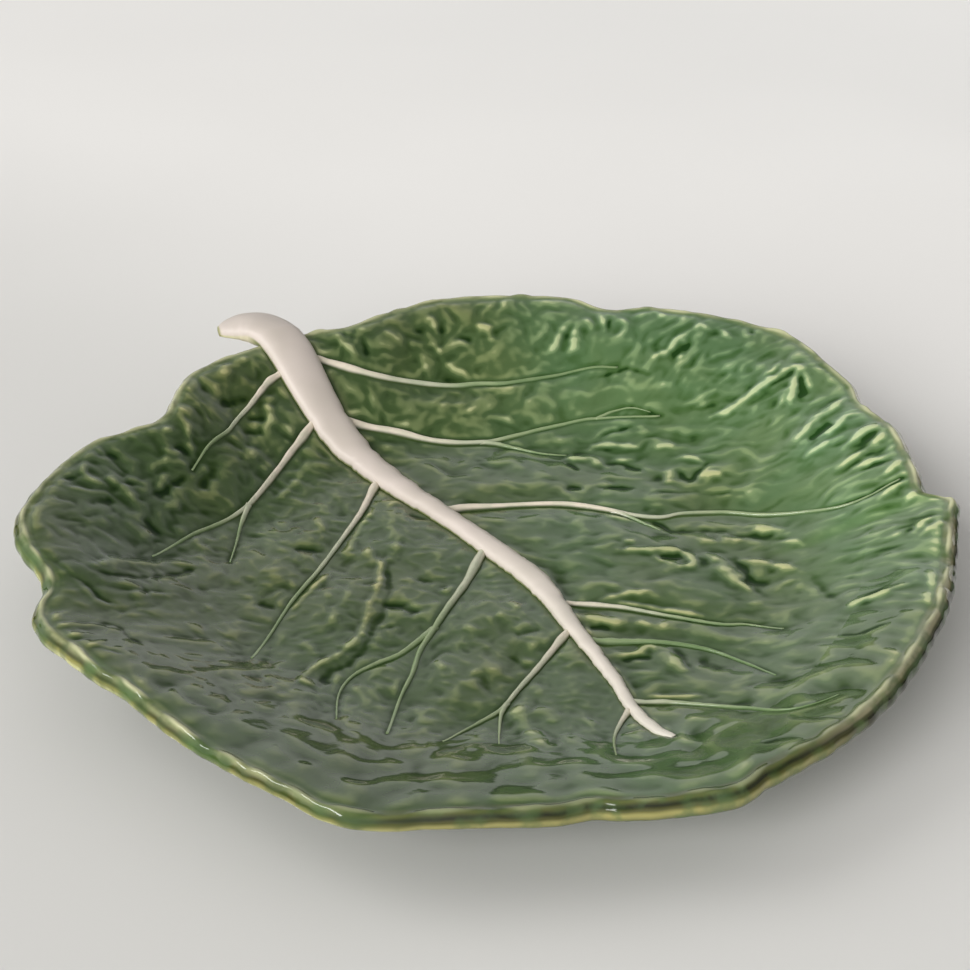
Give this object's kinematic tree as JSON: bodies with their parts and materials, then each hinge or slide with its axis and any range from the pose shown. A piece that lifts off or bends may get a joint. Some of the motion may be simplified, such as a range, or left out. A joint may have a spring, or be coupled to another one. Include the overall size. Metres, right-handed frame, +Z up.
{
  "type": "cabbage leaf serving plate",
  "caption": "Dished serving plate in the form of one cabbage leaf, with a quilted green blade, a ruffled rounded lip, a raised cream midrib that curls over the lip as a stalk, and a foot ring.",
  "frame": {"origin": "centre of the foot ring's tread, on the table", "axes": "+Z up out of the dish, +Y along the midrib towards the stalk, +X to the right when the stalk points away"},
  "size_m": [0.2938, 0.2993, 0.0428],
  "materials": {
    "green_glaze": "deep glossy green glaze, thin and yellow-olive on the ridges, dark where it pools",
    "cream_glaze": "satin warm cream glaze",
    "vein_glaze": "thin glossy glaze, cream at the root and green towards the tips",
    "foot_clay": "glazed sides, wiped bare clay on the tread"
  },
  "bodies": {
    "root": {"leaf": "green_glaze", "foot_ring": "foot_clay", "midrib": "cream_glaze", "stalk": "cream_glaze", "vein_left_1": "vein_glaze", "vein_left_2": "vein_glaze", "vein_left_3": "vein_glaze", "vein_left_4": "vein_glaze", "vein_left_5": "vein_glaze", "vein_left_6": "vein_glaze", "vein_right_1": "vein_glaze", "vein_right_2": "vein_glaze", "vein_right_3": "vein_glaze", "vein_right_4": "vein_glaze", "vein_right_5": "vein_glaze", "vein_right_6": "vein_glaze"}
  },
  "joints": []
}
